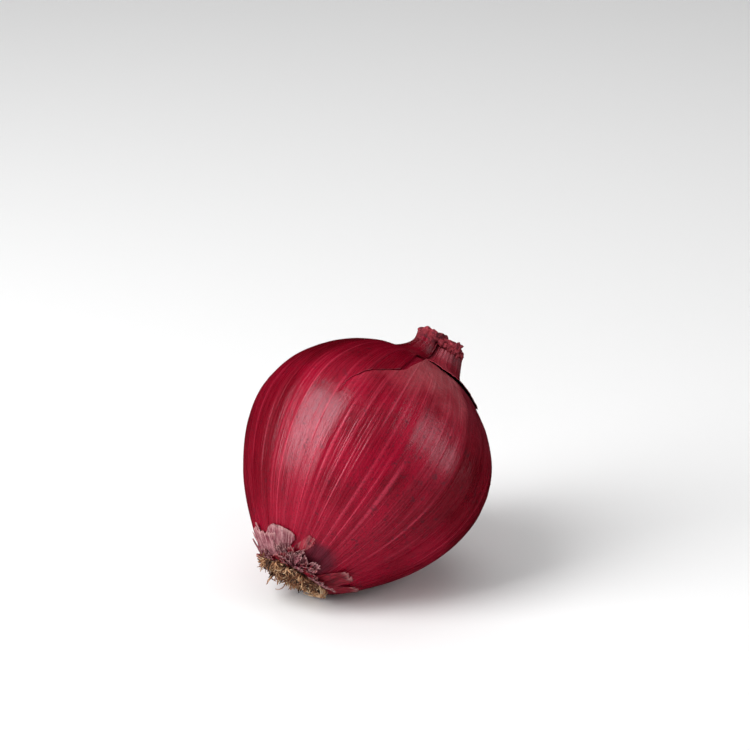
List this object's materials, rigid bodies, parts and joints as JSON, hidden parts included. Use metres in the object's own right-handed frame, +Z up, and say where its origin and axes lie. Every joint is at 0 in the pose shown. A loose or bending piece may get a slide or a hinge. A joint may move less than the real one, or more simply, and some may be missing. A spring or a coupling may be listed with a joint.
{
  "type": "red onion",
  "caption": "Whole red onion lying on its side: squat round bulb in torn papery skin, pinched dried neck, dried root tuft at the base.",
  "frame": {"origin": "centre of the small flat spot on the belly that the onion rests on, on the surface it lies on", "axes": "+Z up from that surface; the growth axis lies in the XZ plane, with the root tuft low towards -X and the dried neck raised towards +X"},
  "size_m": [0.0779, 0.0743, 0.0732],
  "materials": {
    "dry_skin": "satin",
    "dried_root": "matte"
  },
  "bodies": {
    "root": {"bulb": "dry_skin", "root_tuft": "dried_root"}
  },
  "joints": []
}
